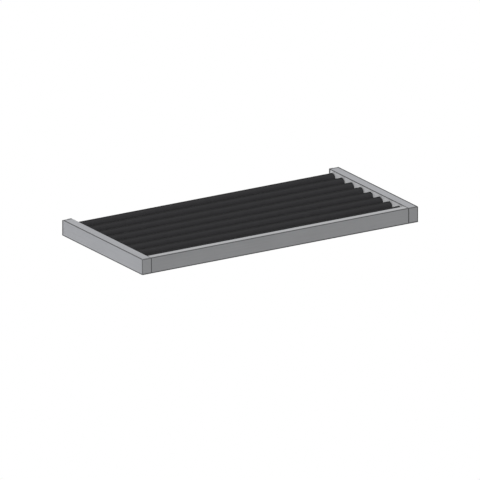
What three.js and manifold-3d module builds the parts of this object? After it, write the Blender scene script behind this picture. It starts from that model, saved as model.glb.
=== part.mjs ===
// Pull-out trouser rack for a closet bay 762 mm (30 in) wide, shown closed.
// Millimetres, +X to the right, +Y to the back, +Z up. The origin is the middle of the closed
// rack's footprint, at the height of its underside.
//
// Two hollow side profiles, a front rail and eight sleeved bars are screwed into one frame. Each
// side profile has a channel that opens outwards. A ball slide of three members runs in it and
// carries the frame from a flat plate that is screwed to the wall of the bay.
import * as THREE from 'three';
import { mergeVertices } from 'three/addons/utils/BufferGeometryUtils.js';
import Module from 'manifold-3d';

const wasm = await Module();
wasm.setup();

// The closed rack
const rackWidth = 762;
const rackDepth = 355.6;
const railHeight = 38.1;
const railWidth = 25.4;
const frontRailDepth = 19.05;

// Extruded profiles, the caps on their ends and the plates on the bay's walls
const profileWall = 2;
const edgeRadius = 0.8;
const plateThickness = 1.6;
const plateCornerRadius = 1.5;
const capThickness = 1.8;
const tongueLength = 5.5;
const tongueWall = 1.5;
const tongueGap = 0.3;
const runningGap = 0.4;

// Bars
const barCount = 8;
const firstBarMargin = 24.1;
const lastBarMargin = 17.75;
const barDiameter = 22;
const barDrop = 6.3;
const sleeveThickness = 1;
const sleeveGap = 0.1;
const sleeveEndGap = 0.5;
const tubeWall = 1.5;
const plugLength = 14;

// Screws, their holes, and the ports in the front rail that they thread into
const screwDiameter = 4;
const screwLength = 13;
const headDiameter = 7.6;
const headHeight = 2.4;
const headRound = 0.9;
const keyDiameter = 2.9;
const keyDepth = 1.3;
const holeGap = 0.2;
const driverHoleDiameter = 10;
const portDiameter = 7.6;
const portInset = 9.55;
const portSink = 1;
const portSlot = 1.6;

// Ball slides
const slideThickness = 12.7;
const channelGap = 1.05;
const slideSetback = 3.4;
const stripThickness = 1.2;
const bendRadius = 0.9;
const ballDiameter = 3;
const ballGap = 0.15;
const raceDip = 0.5;
const bendToDip = 0.4;
const curlClearance = 0.5;
const cageThickness = 0.6;
const cageLength = 80;
const cageGap = 0.3;
const ballsInRow = 4;
const ballPitch = 20;
const stopGap = 0.3;
const stopPastHole = 2;
const rivetDiameter = 5;
const rivetHeadDiameter = 8;
const rivetHeadHeight = 0.8;

// Rubber stop behind each slide
const bumperThickness = 4;
const bumperWidth = 9;
const bumperHeight = 20;
const bumperRadius = 2;
const bumperPegDiameter = 3;
const bumperGap = 0.3;

// Wood screws through slide and plate into the bay's wall, on a 32 mm hole grid. The holes stop at
// a thin skin that a screw's point breaks through, so the plate's outer face stays plain.
const firstHoleSetback = 37;
const holeGrid = 32;
const middleHoleShare = 0.4;
const mountHoleDiameter = 4.2;
const mountSinkDiameter = 8;
const mountSkin = 0.3;

// How far a cutter runs past what it cuts
const overrun = 1;

// Steps round an arc of each kind
const cornerSteps = 2;
const raceSteps = 5;
const barSteps = 20;
const screwSteps = 8;
const keySteps = 6;
const ballSteps = 8;
const ballRings = 4;

// Places across one side, on the right, from the frame's inner face to the bay's wall
const innerFace = rackWidth / 2 - railWidth;
const plateInner = rackWidth / 2 - plateThickness;
const channelFloor = plateInner - slideThickness;
const chamberStart = innerFace + profileWall;
const chamberEnd = channelFloor - profileWall;
const flangeEnd = plateInner - runningGap;
const slideHeight = railHeight - 2 * profileWall - 2 * channelGap;
const barHeight = railHeight - barDrop - barDiameter / 2;

// Places from the front to the back
const front = -rackDepth / 2;
const back = rackDepth / 2;
const profileFront = front + capThickness;
const profileBack = back - capThickness;
const frontRailBack = front + frontRailDepth;
const slideFront = profileFront + runningGap;
const slideBack = back - slideSetback;
const slideTravel = slideBack - slideFront;
const movingBack = slideBack - bumperThickness - bumperGap;
const cageMiddle = (slideFront + movingBack) / 2;
const firstBar = frontRailBack + firstBarMargin;
const barPitch = (back - lastBarMargin - firstBar) / (barCount - 1);
const barPlaces = Array.from({ length: barCount }, (_, i) => firstBar + i * barPitch);

// Rivets lie midway between two bars: at both ends of the row of bars, and in its middle
const lastBar = barPlaces[barCount - 1];
const rivetPlaces = [firstBar + barPitch / 2, (firstBar + lastBar) / 2, lastBar - barPitch / 2];

// Wood screws, on the first, a middle and the last place of the hole grid
const lastGridStep = Math.floor((back - slideFront - 2 * firstHoleSetback) / holeGrid);
const mountSteps = [0, Math.floor(lastGridStep * middleHoleShare), lastGridStep];
const mountPlaces = mountSteps.map((step) => slideFront + firstHoleSetback + step * holeGrid);

// Screws and holes that share one axis, as [place on Y, height]
const middleHeight = railHeight / 2;
const portRadius = portDiameter / 2;
const portPlace = frontRailBack - profileWall - portRadius + portSink;
const portPlaces = [[portPlace, portInset], [portPlace, railHeight - portInset]];
const screwPlaces = [...barPlaces.map((y) => [y, barHeight]), ...portPlaces];
const screwHoleRadius = screwDiameter / 2 + holeGap;

const aluminium = { color: 0xa9aaad, roughness: 0.42, metalness: 0.85 };
const zincedSteel = { color: 0xb9bcc0, roughness: 0.35, metalness: 0.9 };
const polishedSteel = { color: 0xc8cacc, roughness: 0.2, metalness: 1 };
const greyPlastic = { color: 0x9c9da0, roughness: 0.5, metalness: 0.3 };
const blackSleeve = { color: 0x2e2e2f, roughness: 0.75, metalness: 0 };
const blackRubber = { color: 0x232324, roughness: 0.85, metalness: 0 };

// A closed geometry as a solid that can be joined and cut
function solidOf(geometry) {
  geometry.deleteAttribute('normal');
  geometry.deleteAttribute('uv');
  const merged = mergeVertices(geometry);
  const corners = merged.index.array;
  const triangles = [];
  for (let i = 0; i < corners.length; i += 3) {
    const [a, b, c] = corners.slice(i, i + 3);
    if (a !== b && b !== c && c !== a) triangles.push(a, b, c);
  }
  return new wasm.Manifold(new wasm.Mesh({
    numProp: 3,
    vertProperties: merged.attributes.position.array,
    triVerts: new Uint32Array(triangles),
  }));
}

// A finished solid as a named mesh in its own material
function meshOf(name, solid, look) {
  const { vertProperties, triVerts } = solid.getMesh();
  const geometry = new THREE.BufferGeometry();
  geometry.setAttribute('position', new THREE.BufferAttribute(vertProperties, 3));
  geometry.setIndex(new THREE.BufferAttribute(triVerts, 1));
  geometry.computeVertexNormals();
  const mesh = new THREE.Mesh(geometry, new THREE.MeshStandardMaterial(look));
  mesh.name = name;
  return mesh;
}

// A section drawn in X and Z, extruded between two places on Y
function alongY(section, yFront, yBack) {
  const options = { depth: yBack - yFront, bevelEnabled: false, curveSegments: cornerSteps / 2 };
  const geometry = new THREE.ExtrudeGeometry(section, options);
  geometry.rotateX(Math.PI / 2);
  geometry.translate(0, yBack, 0);
  return solidOf(geometry);
}

// A section drawn in Y and Z, extruded between two places on X
function alongX(section, xStart, xEnd) {
  const options = { depth: xEnd - xStart, bevelEnabled: false, curveSegments: cornerSteps / 2 };
  const geometry = new THREE.ExtrudeGeometry(section, options);
  const [x, y, z] = [0, 1, 2].map((axis) => new THREE.Vector3().setComponent(axis, 1));
  geometry.applyMatrix4(new THREE.Matrix4().makeBasis(y, z, x));
  geometry.translate(xStart, 0, 0);
  return solidOf(geometry);
}

// A profile of [place on X, radius] points, turned round an axis along X. Its outer side runs
// towards +X. A profile that keeps clear of the axis is closed on itself.
function turned(profile, [y, z], steps) {
  const points = profile.map(([x, radius]) => new THREE.Vector2(radius, x));
  if (points[0].x > 0) points.push(points[0].clone());
  const geometry = new THREE.LatheGeometry(points, steps);
  geometry.rotateZ(-Math.PI / 2);
  geometry.translate(0, y, z);
  return solidOf(geometry);
}

// A round pin or cutter along X
function rod(radius, xStart, xEnd, place, steps = screwSteps) {
  return turned([[xStart, 0], [xStart, radius], [xEnd, radius], [xEnd, 0]], place, steps);
}

// A plain rectangle as a section
function rectangle(left, right, bottom, top) {
  const corners = [[left, bottom], [right, bottom], [right, top], [left, top]];
  return new THREE.Shape(corners.map(([across, up]) => new THREE.Vector2(across, up)));
}

// A rectangle with rounded corners, as a section or as a hole in one
function roundedRect(left, right, bottom, top, radius, Outline = THREE.Shape) {
  const outline = new Outline();
  const quarter = Math.PI / 2;
  outline.absarc(left + radius, bottom + radius, radius, 2 * quarter, 3 * quarter);
  outline.absarc(right - radius, bottom + radius, radius, 3 * quarter, 4 * quarter);
  outline.absarc(right - radius, top - radius, radius, 0, quarter);
  outline.absarc(left + radius, top - radius, radius, quarter, 2 * quarter);
  outline.closePath();
  return outline;
}

// The extrusion of one side: a box chamber, and outside it a channel for the slide
function sideProfile() {
  const section = new THREE.Shape();
  const quarter = Math.PI / 2;
  section.moveTo(flangeEnd, 0);
  section.lineTo(flangeEnd, profileWall);
  section.lineTo(channelFloor, profileWall);
  section.lineTo(channelFloor, railHeight - profileWall);
  section.lineTo(flangeEnd, railHeight - profileWall);
  section.lineTo(flangeEnd, railHeight);
  section.absarc(innerFace + edgeRadius, railHeight - edgeRadius, edgeRadius, quarter, 2 * quarter);
  section.absarc(innerFace + edgeRadius, edgeRadius, edgeRadius, 2 * quarter, 3 * quarter);
  section.closePath();
  const [bottom, top] = [profileWall, railHeight - profileWall];
  section.holes.push(roundedRect(chamberStart, chamberEnd, bottom, top, edgeRadius, THREE.Path));
  let profile = alongY(section, profileFront, profileBack);
  const [outerStart, outerEnd] = [chamberEnd - overrun, channelFloor + overrun];
  for (const place of screwPlaces) {
    const screwHole = rod(screwHoleRadius, innerFace - overrun, chamberStart + overrun, place);
    const driverHole = rod(driverHoleDiameter / 2, outerStart, outerEnd, place);
    profile = profile.subtract(screwHole).subtract(driverHole);
  }
  const rivetHoleRadius = rivetDiameter / 2 + holeGap;
  for (const y of rivetPlaces) {
    profile = profile.subtract(rod(rivetHoleRadius, outerStart, outerEnd, [y, middleHeight]));
  }
  return profile;
}

// A cap's tongue, an open box that plugs the chamber of the side profile
function tongue(yFront, yBack) {
  const left = chamberStart + tongueGap;
  const right = chamberEnd - tongueGap;
  const bottom = profileWall + tongueGap;
  const top = railHeight - profileWall - tongueGap;
  const section = roundedRect(left, right, bottom, top, edgeRadius);
  const [inLeft, inRight] = [left + tongueWall, right - tongueWall];
  const [inBottom, inTop] = [bottom + tongueWall, top - tongueWall];
  section.holes.push(roundedRect(inLeft, inRight, inBottom, inTop, edgeRadius / 2, THREE.Path));
  return alongY(section, yFront, yBack);
}

// The front cap covers the whole end and passes in front of the plate
function frontCap() {
  const section = roundedRect(innerFace, rackWidth / 2 - runningGap, 0, railHeight, edgeRadius);
  return alongY(section, front, profileFront).add(tongue(profileFront, profileFront + tongueLength));
}

// The rear cap closes only the chamber, so that it runs past the slide's fixed member
function rearCap() {
  const section = roundedRect(innerFace, channelFloor, 0, railHeight, edgeRadius);
  return alongY(section, profileBack, back).add(tongue(profileBack - tongueLength, profileBack));
}

// Cutter of one countersunk hole through the slide's fixed member and into the plate behind it
function mountHole(y) {
  const small = mountHoleDiameter / 2;
  const large = mountSinkDiameter / 2;
  const mouth = plateInner - stripThickness;
  const end = rackWidth / 2 - mountSkin;
  const profile = [
    [mouth - overrun, 0],
    [mouth - overrun, large],
    [mouth, large],
    [Math.min(mouth + large - small, end), small],
    [end, small],
    [end, 0],
  ];
  return turned(profile, [y, middleHeight], screwSteps);
}

// The flat plate on the bay's wall, as high as the frame
function mountingPlate() {
  const section = roundedRect(slideFront, back, 0, railHeight, plateCornerRadius);
  let plate = alongX(section, plateInner, rackWidth / 2);
  for (const y of mountPlaces) plate = plate.subtract(mountHole(y));
  return plate;
}

// Slide sections are drawn as [distance from the plate, height above the slide's middle].
// Each ball row sits between the race of an outer strip and the dip of an inner one.
const ballRadius = ballDiameter / 2;
const raceRadius = ballRadius + ballGap + stripThickness / 2;
const dipAngle = Math.acos((raceRadius - raceDip) / raceRadius);
const dipHalfWidth = raceRadius * Math.sin(dipAngle);
const dipQuarters = dipAngle / (Math.PI / 2);
const fixedWeb = stripThickness / 2;
const outerCageWeb = stripThickness + cageGap + cageThickness / 2;
const middleWeb = outerCageWeb + cageThickness / 2 + cageGap + stripThickness / 2;
const innerCageWeb = middleWeb + stripThickness / 2 + cageGap + cageThickness / 2;
const movingWeb = slideThickness - stripThickness / 2;
const fixedFlange = slideHeight / 2 - stripThickness / 2;
const outerBalls = [middleWeb + bendRadius + bendToDip + dipHalfWidth, fixedFlange - raceRadius];
const middleFlange = outerBalls[1] - raceRadius + raceDip;
const innerCurlEnd = slideThickness - stripThickness - curlClearance;
const innerBalls = [innerCurlEnd - stripThickness / 2 - raceRadius, middleFlange - raceRadius];
const movingFlange = innerBalls[1] - raceRadius + raceDip;
const movingFlangeEnd = innerCageWeb + cageThickness / 2 + cageGap;

// Points of an arc of a slide's centre line, from one angle to another in quarter turns
function arc([distance, height], radius, fromQuarters, toQuarters, steps) {
  const [start, end] = [fromQuarters * Math.PI / 2, toQuarters * Math.PI / 2];
  const curve = new THREE.EllipseCurve(distance, height, radius, radius, start, end, end < start);
  return curve.getPoints(steps);
}

// A strip bent to the upper half of a centre line and its mirror image below, in X and Z
function stripSection(upperHalf, thickness) {
  const upper = upperHalf.map((point) => new THREE.Vector2(point.x, point.y));
  const lower = upper.map((point) => new THREE.Vector2(point.x, -point.y)).reverse();
  const line = [...lower, ...upper];
  const sides = [[], []];
  line.forEach((point, i) => {
    const before = point.clone().sub(line[Math.max(i - 1, 0)]).normalize();
    const after = line[Math.min(i + 1, line.length - 1)].clone().sub(point).normalize();
    const direction = before.clone().add(after).normalize();
    const halfTurn = Math.max(direction.dot(before), direction.dot(after));
    const offset = new THREE.Vector2(-direction.y, direction.x);
    offset.multiplyScalar(thickness / 2 / halfTurn);
    sides[0].push(point.clone().add(offset));
    sides[1].push(point.clone().sub(offset));
  });
  const outline = [...sides[0], ...sides[1].reverse()];
  const placed = outline.map(({ x, y }) => new THREE.Vector2(plateInner - x, middleHeight + y));
  return new THREE.Shape(placed);
}

// A bend from a web to a flange that runs away from the plate
function webBend(web, flange) {
  return arc([web + bendRadius, flange - bendRadius], bendRadius, 2, 1, cornerSteps);
}

// Stops stand in the way of a cage and meet its ends when the rack is fully out: at its front on
// the member that it leaves behind, and at its rear on the one that it follows. A stop on a web
// is taller than a driver hole.
const stopReach = cageLength / 2 + slideTravel / 4 + stopGap;
const frontStop = [cageMiddle - stopReach - stripThickness, cageMiddle - stopReach];
const rearStop = [cageMiddle + stopReach, cageMiddle + stopReach + stripThickness];
const webStopTop = driverHoleDiameter / 2 + stopPastHole;
const webStopHeights = [-webStopTop, webStopTop];

// One stop, between two distances from the plate and two heights above the slide's middle
function cageStop([start, end], [bottom, top], [yFront, yBack]) {
  const [left, right] = [plateInner - end, plateInner - start];
  const section = rectangle(left, right, middleHeight + bottom, middleHeight + top);
  return alongY(section, yFront, yBack);
}

// The fixed member, screwed with the plate to the bay's wall
function cabinetMember() {
  const line = [...webBend(fixedWeb, fixedFlange), ...arc(outerBalls, raceRadius, 1, 0, raceSteps)];
  let member = alongY(stripSection(line, stripThickness), slideFront, slideBack);
  for (const y of mountPlaces) member = member.subtract(mountHole(y));
  member = member.subtract(bumperPeg(bumperPegDiameter / 2 + holeGap, overrun));
  const stopEnd = outerCageWeb + cageThickness / 2;
  return member.add(cageStop([fixedWeb, stopEnd], webStopHeights, frontStop));
}

// The middle member, with holes that a screwdriver passes when the rack is out
function intermediateMember() {
  const line = [
    ...webBend(middleWeb, middleFlange),
    ...arc(outerBalls, raceRadius, -1 - dipQuarters, -1 + dipQuarters, raceSteps),
    ...arc(innerBalls, raceRadius, 1, 0, raceSteps),
  ];
  let member = alongY(stripSection(line, stripThickness), slideFront, movingBack);
  const radius = driverHoleDiameter / 2;
  const webPlace = plateInner - middleWeb;
  const [near, far] = [webPlace - stripThickness, webPlace + stripThickness];
  for (const y of mountPlaces.map((place) => place + slideTravel / 2)) {
    const clearOfEnd = y + radius + stripThickness < movingBack;
    if (clearOfEnd) member = member.subtract(rod(radius, near, far, [y, middleHeight]));
  }
  const [outerEnd, innerEnd] = [outerCageWeb - cageThickness / 2, innerCageWeb + cageThickness / 2];
  const outerStop = cageStop([outerEnd, middleWeb], webStopHeights, rearStop);
  const innerStop = cageStop([middleWeb, innerEnd], webStopHeights, frontStop);
  return member.add(outerStop).add(innerStop);
}

// One rivet of the inner member, through the channel's floor into the chamber
function rivet(y) {
  const place = [y, middleHeight];
  const webFace = channelFloor + stripThickness;
  const shank = rod(rivetDiameter / 2, chamberEnd, webFace, place);
  const formedHead = rod(rivetHeadDiameter / 2, chamberEnd - rivetHeadHeight, chamberEnd, place);
  const setHead = rod(rivetHeadDiameter / 2, webFace, webFace + rivetHeadHeight, place);
  return shank.add(formedHead).add(setHead);
}

// The inner member, riveted to the side profile
function innerMember() {
  const line = [
    ...arc([movingWeb - bendRadius, movingFlange - bendRadius], bendRadius, 0, 1, cornerSteps),
    ...arc(innerBalls, raceRadius, -1 + dipQuarters, -1 - dipQuarters, raceSteps),
    { x: movingFlangeEnd, y: movingFlange },
  ];
  let member = alongY(stripSection(line, stripThickness), slideFront, movingBack);
  for (const y of rivetPlaces) member = member.add(rivet(y));
  const stopSpan = [innerCageWeb - cageThickness / 2, movingFlangeEnd + stripThickness];
  const [low, high] = [movingFlange - stripThickness / 2, movingFlange + stripThickness / 2];
  for (const heights of [[low, high], [-high, -low]]) {
    member = member.add(cageStop(stopSpan, heights, rearStop));
  }
  return member;
}

// A cage, with the two rows of balls that it holds
function ballCage(web, [ballDistance, ballHeight]) {
  const armEnd = ballDistance + ballRadius - ballGap;
  const line = [{ x: web, y: ballHeight }, { x: armEnd, y: ballHeight }];
  const [yFront, yBack] = [cageMiddle - cageLength / 2, cageMiddle + cageLength / 2];
  let cage = alongY(stripSection(line, cageThickness), yFront, yBack);
  for (const side of [-1, 1]) {
    for (let i = 0; i < ballsInRow; i++) {
      const ball = new THREE.SphereGeometry(ballRadius, ballSteps, ballRings);
      const y = cageMiddle + (i - (ballsInRow - 1) / 2) * ballPitch;
      ball.translate(plateInner - ballDistance, y, middleHeight + side * ballHeight);
      cage = cage.add(solidOf(ball));
    }
  }
  return cage;
}

// The peg of the rubber stop, or the cutter of its hole
function bumperPeg(radius, runPast) {
  const place = [slideBack - bumperThickness / 2, middleHeight];
  return rod(radius, plateInner - stripThickness - runPast, plateInner + runPast, place);
}

// The rubber stop that the sliding members meet when the rack is pushed in
function rearBumper() {
  const face = plateInner - stripThickness;
  const [bottom, top] = [middleHeight - bumperHeight / 2, middleHeight + bumperHeight / 2];
  const section = roundedRect(face - bumperWidth, face, bottom, top, bumperRadius);
  const block = alongY(section, slideBack - bumperThickness, slideBack);
  return block.add(bumperPeg(bumperPegDiameter / 2, 0));
}

// A button-head screw from the chamber through the side profile, its head on the web
function buttonScrew(place) {
  const top = chamberStart + headHeight;
  const [radius, headRadius] = [screwDiameter / 2, headDiameter / 2];
  const tip = chamberStart - screwLength;
  const screw = turned(
    [
      [tip, 0],
      [tip, radius],
      [chamberStart, radius],
      [chamberStart, headRadius],
      [top - headRound, headRadius],
      [top, headRadius - headRound],
      [top, 0],
    ],
    place,
    screwSteps,
  );
  return screw.subtract(rod(keyDiameter / 2, top - keyDepth, top + overrun, place, keySteps));
}

// The hollow front rail, with two slotted screw ports on its rear wall
function frontRail() {
  const outer = roundedRect(front, frontRailBack, 0, railHeight, edgeRadius);
  const [near, far] = [front + profileWall, frontRailBack - profileWall];
  const hollow = roundedRect(near, far, profileWall, railHeight - profileWall, edgeRadius);
  const cutEnd = innerFace + overrun;
  let rail = alongX(outer, -innerFace, innerFace).subtract(alongX(hollow, -cutEnd, cutEnd));
  for (const place of portPlaces) {
    rail = rail.add(rod(portRadius, -innerFace, innerFace, place, barSteps));
  }
  for (const [y, z] of portPlaces) {
    const slot = rectangle(y - portRadius - overrun, y, z - portSlot / 2, z + portSlot / 2);
    rail = rail.subtract(rod(screwHoleRadius, -cutEnd, cutEnd, [y, z]));
    rail = rail.subtract(alongX(slot, -cutEnd, cutEnd));
  }
  return rail;
}

// The tube of a bar, with the plug that takes a screw in each end
function barTube(y) {
  const radius = barDiameter / 2 - sleeveThickness - sleeveGap;
  const inside = radius - tubeWall;
  const plugEnd = innerFace - plugLength;
  return turned(
    [
      [-innerFace, screwHoleRadius],
      [-innerFace, radius],
      [innerFace, radius],
      [innerFace, screwHoleRadius],
      [plugEnd, screwHoleRadius],
      [plugEnd, inside],
      [-plugEnd, inside],
      [-plugEnd, screwHoleRadius],
    ],
    [y, barHeight],
    barSteps,
  );
}

// The soft sleeve that keeps trousers from slipping off a bar
function barSleeve(y) {
  const end = innerFace - sleeveEndGap;
  const [radius, bore] = [barDiameter / 2, barDiameter / 2 - sleeveThickness];
  return turned([[-end, bore], [-end, radius], [end, radius], [end, bore]], [y, barHeight], barSteps);
}

// Everything at one end of the bars, modelled on the right and mirrored for the left
function sideGroup(hand) {
  const group = new THREE.Group();
  group.add(
    meshOf(`${hand}_side_profile`, sideProfile(), aluminium),
    meshOf(`${hand}_front_cap`, frontCap(), greyPlastic),
    meshOf(`${hand}_rear_cap`, rearCap(), greyPlastic),
    meshOf(`${hand}_mounting_plate`, mountingPlate(), aluminium),
    meshOf(`${hand}_cabinet_member`, cabinetMember(), zincedSteel),
    meshOf(`${hand}_intermediate_member`, intermediateMember(), zincedSteel),
    meshOf(`${hand}_inner_member`, innerMember(), zincedSteel),
    meshOf(`${hand}_outer_ball_cage`, ballCage(outerCageWeb, outerBalls), polishedSteel),
    meshOf(`${hand}_inner_ball_cage`, ballCage(innerCageWeb, innerBalls), polishedSteel),
    meshOf(`${hand}_rear_bumper`, rearBumper(), blackRubber),
  );
  barPlaces.forEach((y, i) => {
    group.add(meshOf(`bar_${i + 1}_${hand}_screw`, buttonScrew([y, barHeight]), polishedSteel));
  });
  portPlaces.forEach((place, i) => {
    const level = ['lower', 'upper'][i];
    group.add(meshOf(`front_rail_${hand}_${level}_screw`, buttonScrew(place), polishedSteel));
  });
  if (hand === 'left') group.scale.x = -1;
  return group;
}

const rack = new THREE.Group();
rack.add(sideGroup('left'), sideGroup('right'));
rack.add(meshOf('front_rail', frontRail(), aluminium));
barPlaces.forEach((y, i) => {
  rack.add(meshOf(`bar_${i + 1}_tube`, barTube(y), polishedSteel));
  rack.add(meshOf(`bar_${i + 1}_sleeve`, barSleeve(y), blackSleeve));
});

export default rack;
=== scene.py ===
"""A trouser rack that pulls out of a closet bay on two ball slides, dressed over its CAD frame."""
import math

import bmesh
import bpy
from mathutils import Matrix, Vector


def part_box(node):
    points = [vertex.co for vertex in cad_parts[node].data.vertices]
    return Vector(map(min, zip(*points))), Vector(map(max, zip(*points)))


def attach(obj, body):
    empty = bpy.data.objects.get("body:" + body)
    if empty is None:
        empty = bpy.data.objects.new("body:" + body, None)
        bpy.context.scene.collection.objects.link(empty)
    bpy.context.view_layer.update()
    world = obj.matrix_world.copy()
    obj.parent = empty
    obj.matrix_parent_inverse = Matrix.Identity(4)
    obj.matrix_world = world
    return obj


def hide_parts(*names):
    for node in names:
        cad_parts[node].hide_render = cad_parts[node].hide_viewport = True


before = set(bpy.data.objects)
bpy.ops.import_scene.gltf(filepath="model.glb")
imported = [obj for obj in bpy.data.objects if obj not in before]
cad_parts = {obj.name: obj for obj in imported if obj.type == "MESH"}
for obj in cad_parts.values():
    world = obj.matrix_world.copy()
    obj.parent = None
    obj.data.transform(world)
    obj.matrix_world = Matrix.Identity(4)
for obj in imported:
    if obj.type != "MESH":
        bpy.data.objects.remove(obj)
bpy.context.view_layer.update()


# Camera
# The photograph looks down on the closed rack from its front left, with its long edges parallel,
# so the camera is orthographic. It aims a little below the rack and to its left, which puts the
# rack high in the picture and a hair right of its middle.
camera_azimuth = math.radians(-31.92)
camera_elevation = math.radians(18.05)
camera_distance = 3.0
picture_width = 1.125
rack_above_middle = 0.0265
rack_right_of_middle = 0.0005

towards_camera = Vector((
    math.sin(camera_azimuth) * math.cos(camera_elevation),
    -math.cos(camera_azimuth) * math.cos(camera_elevation),
    math.sin(camera_elevation),
))
picture_right = Vector((math.cos(camera_azimuth), math.sin(camera_azimuth), 0))
picture_up = towards_camera.cross(picture_right)
lens = bpy.data.cameras.new("camera")
lens.type = "ORTHO"
lens.ortho_scale = picture_width
camera = bpy.data.objects.new("camera", lens)
camera.location = (
    towards_camera * camera_distance - picture_up * rack_above_middle
    - picture_right * rack_right_of_middle
)
camera.rotation_mode = "QUATERNION"
camera.rotation_quaternion = towards_camera.to_track_quat("Z", "Y")
bpy.context.scene.collection.objects.link(camera)
bpy.context.scene.camera = camera


# Studio
# A white room with a pale floor far below the rack, which hangs between two walls of a bay in
# use. Large soft boxes overhead, on the left and behind light it, and a pool of their light on
# the floor lights it from below. A wide lamp high on the left adds a little direction.
white_light = (1, 1, 1, 1)
floor_depth = 0.9
floor_radius = 12.0
floor_sides = 96
pool_centre = (-1.0, 1.2, -floor_depth)
pool_inner, pool_outer = 0.5, 3.0
pool_near, pool_far = 1.00, 0.38
room_light = 0.35
soft_boxes = [  # where it hangs, how it fades in round that direction, how bright it is
    ((0.0, 0.196, 0.981), (0.30, 0.95), 0.40),
    ((-0.951, 0.098, 0.294), (0.20, 0.90), 0.58),
    ((0.483, 0.821, 0.290), (0.50, 0.97), 0.27),
]
lamp_direction = (-0.62, -0.05, 0.78)
lamp_strength = 0.2
lamp_angle = math.radians(40)


def node(tree, kind, *places, **settings):
    """One shader node. Places are (socket, value or the output that feeds it)."""
    made = tree.nodes.new("ShaderNode" + kind)
    for name, value in settings.items():
        setattr(made, name, value)
    for socket, value in places:
        if isinstance(value, bpy.types.NodeSocket):
            tree.links.new(value, made.inputs[socket])
        else:
            made.inputs[socket].default_value = value
    return made


def seen_and_lighting(tree, seen, lighting):
    """A shader that the camera sees, and another that lights the rack."""
    ray = node(tree, "LightPath")
    return node(tree, "MixShader", (0, ray.outputs["Is Camera Ray"]), (1, lighting), (2, seen))


scene = bpy.context.scene
scene.view_settings.view_transform = "Standard"
dome = bpy.data.worlds.new("studio_dome")
dome.use_nodes = True
tree = dome.node_tree
tree.nodes.clear()
direction = node(tree, "TexCoord").outputs["Generated"]
strength = node(tree, "Value")
strength.outputs[0].default_value = room_light
for hangs, (fades_in, full), brightness in soft_boxes:
    facing = node(tree, "VectorMath", (0, direction), (1, hangs), operation="DOT_PRODUCT")
    soft_box = node(
        tree, "MapRange", ("Value", facing.outputs["Value"]), ("From Min", fades_in),
        ("From Max", full), ("To Max", brightness), interpolation_type="SMOOTHSTEP",
    )
    strength = node(tree, "Math", (0, strength.outputs[0]), (1, soft_box.outputs["Result"]))
light = node(tree, "Background", ("Strength", strength.outputs[0]), ("Color", white_light))
backdrop = node(tree, "Background", ("Strength", 1.0), ("Color", white_light))
both = seen_and_lighting(tree, backdrop.outputs[0], light.outputs[0])
node(tree, "OutputWorld", ("Surface", both.outputs[0]))
scene.world = dome

bm = bmesh.new()
bmesh.ops.create_circle(bm, cap_ends=True, segments=floor_sides, radius=floor_radius)
bmesh.ops.translate(bm, verts=bm.verts[:], vec=(0, 0, -floor_depth))
floor_mesh = bpy.data.meshes.new("studio_floor")
bm.to_mesh(floor_mesh)
bm.free()
floor = bpy.data.objects.new("studio_floor", floor_mesh)
scene.collection.objects.link(floor)
white = bpy.data.materials.new("white_floor")
white.use_nodes = True
tree = white.node_tree
tree.nodes.clear()
glow = node(tree, "Emission", ("Strength", 1.0), ("Color", white_light))
spread = node(
    tree, "VectorMath", (0, node(tree, "TexCoord").outputs["Object"]), (1, pool_centre),
    operation="DISTANCE",
)
pool = node(
    tree, "MapRange", ("Value", spread.outputs["Value"]), ("From Min", pool_inner),
    ("From Max", pool_outer), ("To Min", pool_near), ("To Max", pool_far),
    interpolation_type="SMOOTHSTEP",
)
bounce = node(tree, "Emission", ("Strength", pool.outputs["Result"]), ("Color", white_light))
both = seen_and_lighting(tree, glow.outputs[0], bounce.outputs[0])
node(tree, "OutputMaterial", ("Surface", both.outputs[0]))
floor_mesh.materials.append(white)

lamp = bpy.data.lights.new("large_lamp", "SUN")
lamp.energy = lamp_strength
lamp.angle = lamp_angle
lamp_stand = bpy.data.objects.new("large_lamp", lamp)
lamp_stand.rotation_mode = "QUATERNION"
lamp_stand.rotation_quaternion = Vector(lamp_direction).to_track_quat("Z", "Y")
scene.collection.objects.link(lamp_stand)


# Side profiles
# Each side of the frame is one aluminium extrusion, sawn to length and anodised in a satin
# natural tone: a closed chamber on the inside, and outside it an open channel for the slide. The
# die leaves a fine grain along the length, and a painted dark line of shade runs along every edge.
profile_wall = 0.002
chamber = (0.3576, 0.3647)  # its two sides on X, in the right profile; the left one mirrors it
channel_floor = 0.3667
outer_round, lip_round = 0.0008, 0.0004
sawn_edge = 0.00025
screw_hole, driver_hole, rivet_hole = 0.0022, 0.005, 0.0027  # their radii
cut_past = 0.001  # how far a cutter stands out of what it cuts
bar_count, first_bar, bar_pitch, bar_height = 8, -0.13465, 0.0421, 0.0208
bar_places = [first_bar + i * bar_pitch for i in range(bar_count)]
port_places = [(-0.16355, 0.00955), (-0.16355, 0.02855)]
rivet_places = [-0.1136, 0.0127, 0.139]
middle_height = 0.01905
# The second tone is painted light: the face towards the bars is far lighter than the rest of the
# profile, to make up for the shade that the bars cast on it.
frame_tone, painted_light_inner_tone = (0.453, 0.461, 0.484), (0.70, 0.705, 0.72)
inner_depth = 0.0006
grain_shades, inner_shades = (0.93, 1.07), (0.97, 1.03)
satin_metallic, inner_metallic = 0.6, 0.15
satin_roughness, grain_roughness = 0.44, 0.05
streaks_along, streaks_across = 5.0, 1400.0
grain_relief = (0.12, 0.00004)  # how strong it is, and how deep
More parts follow.
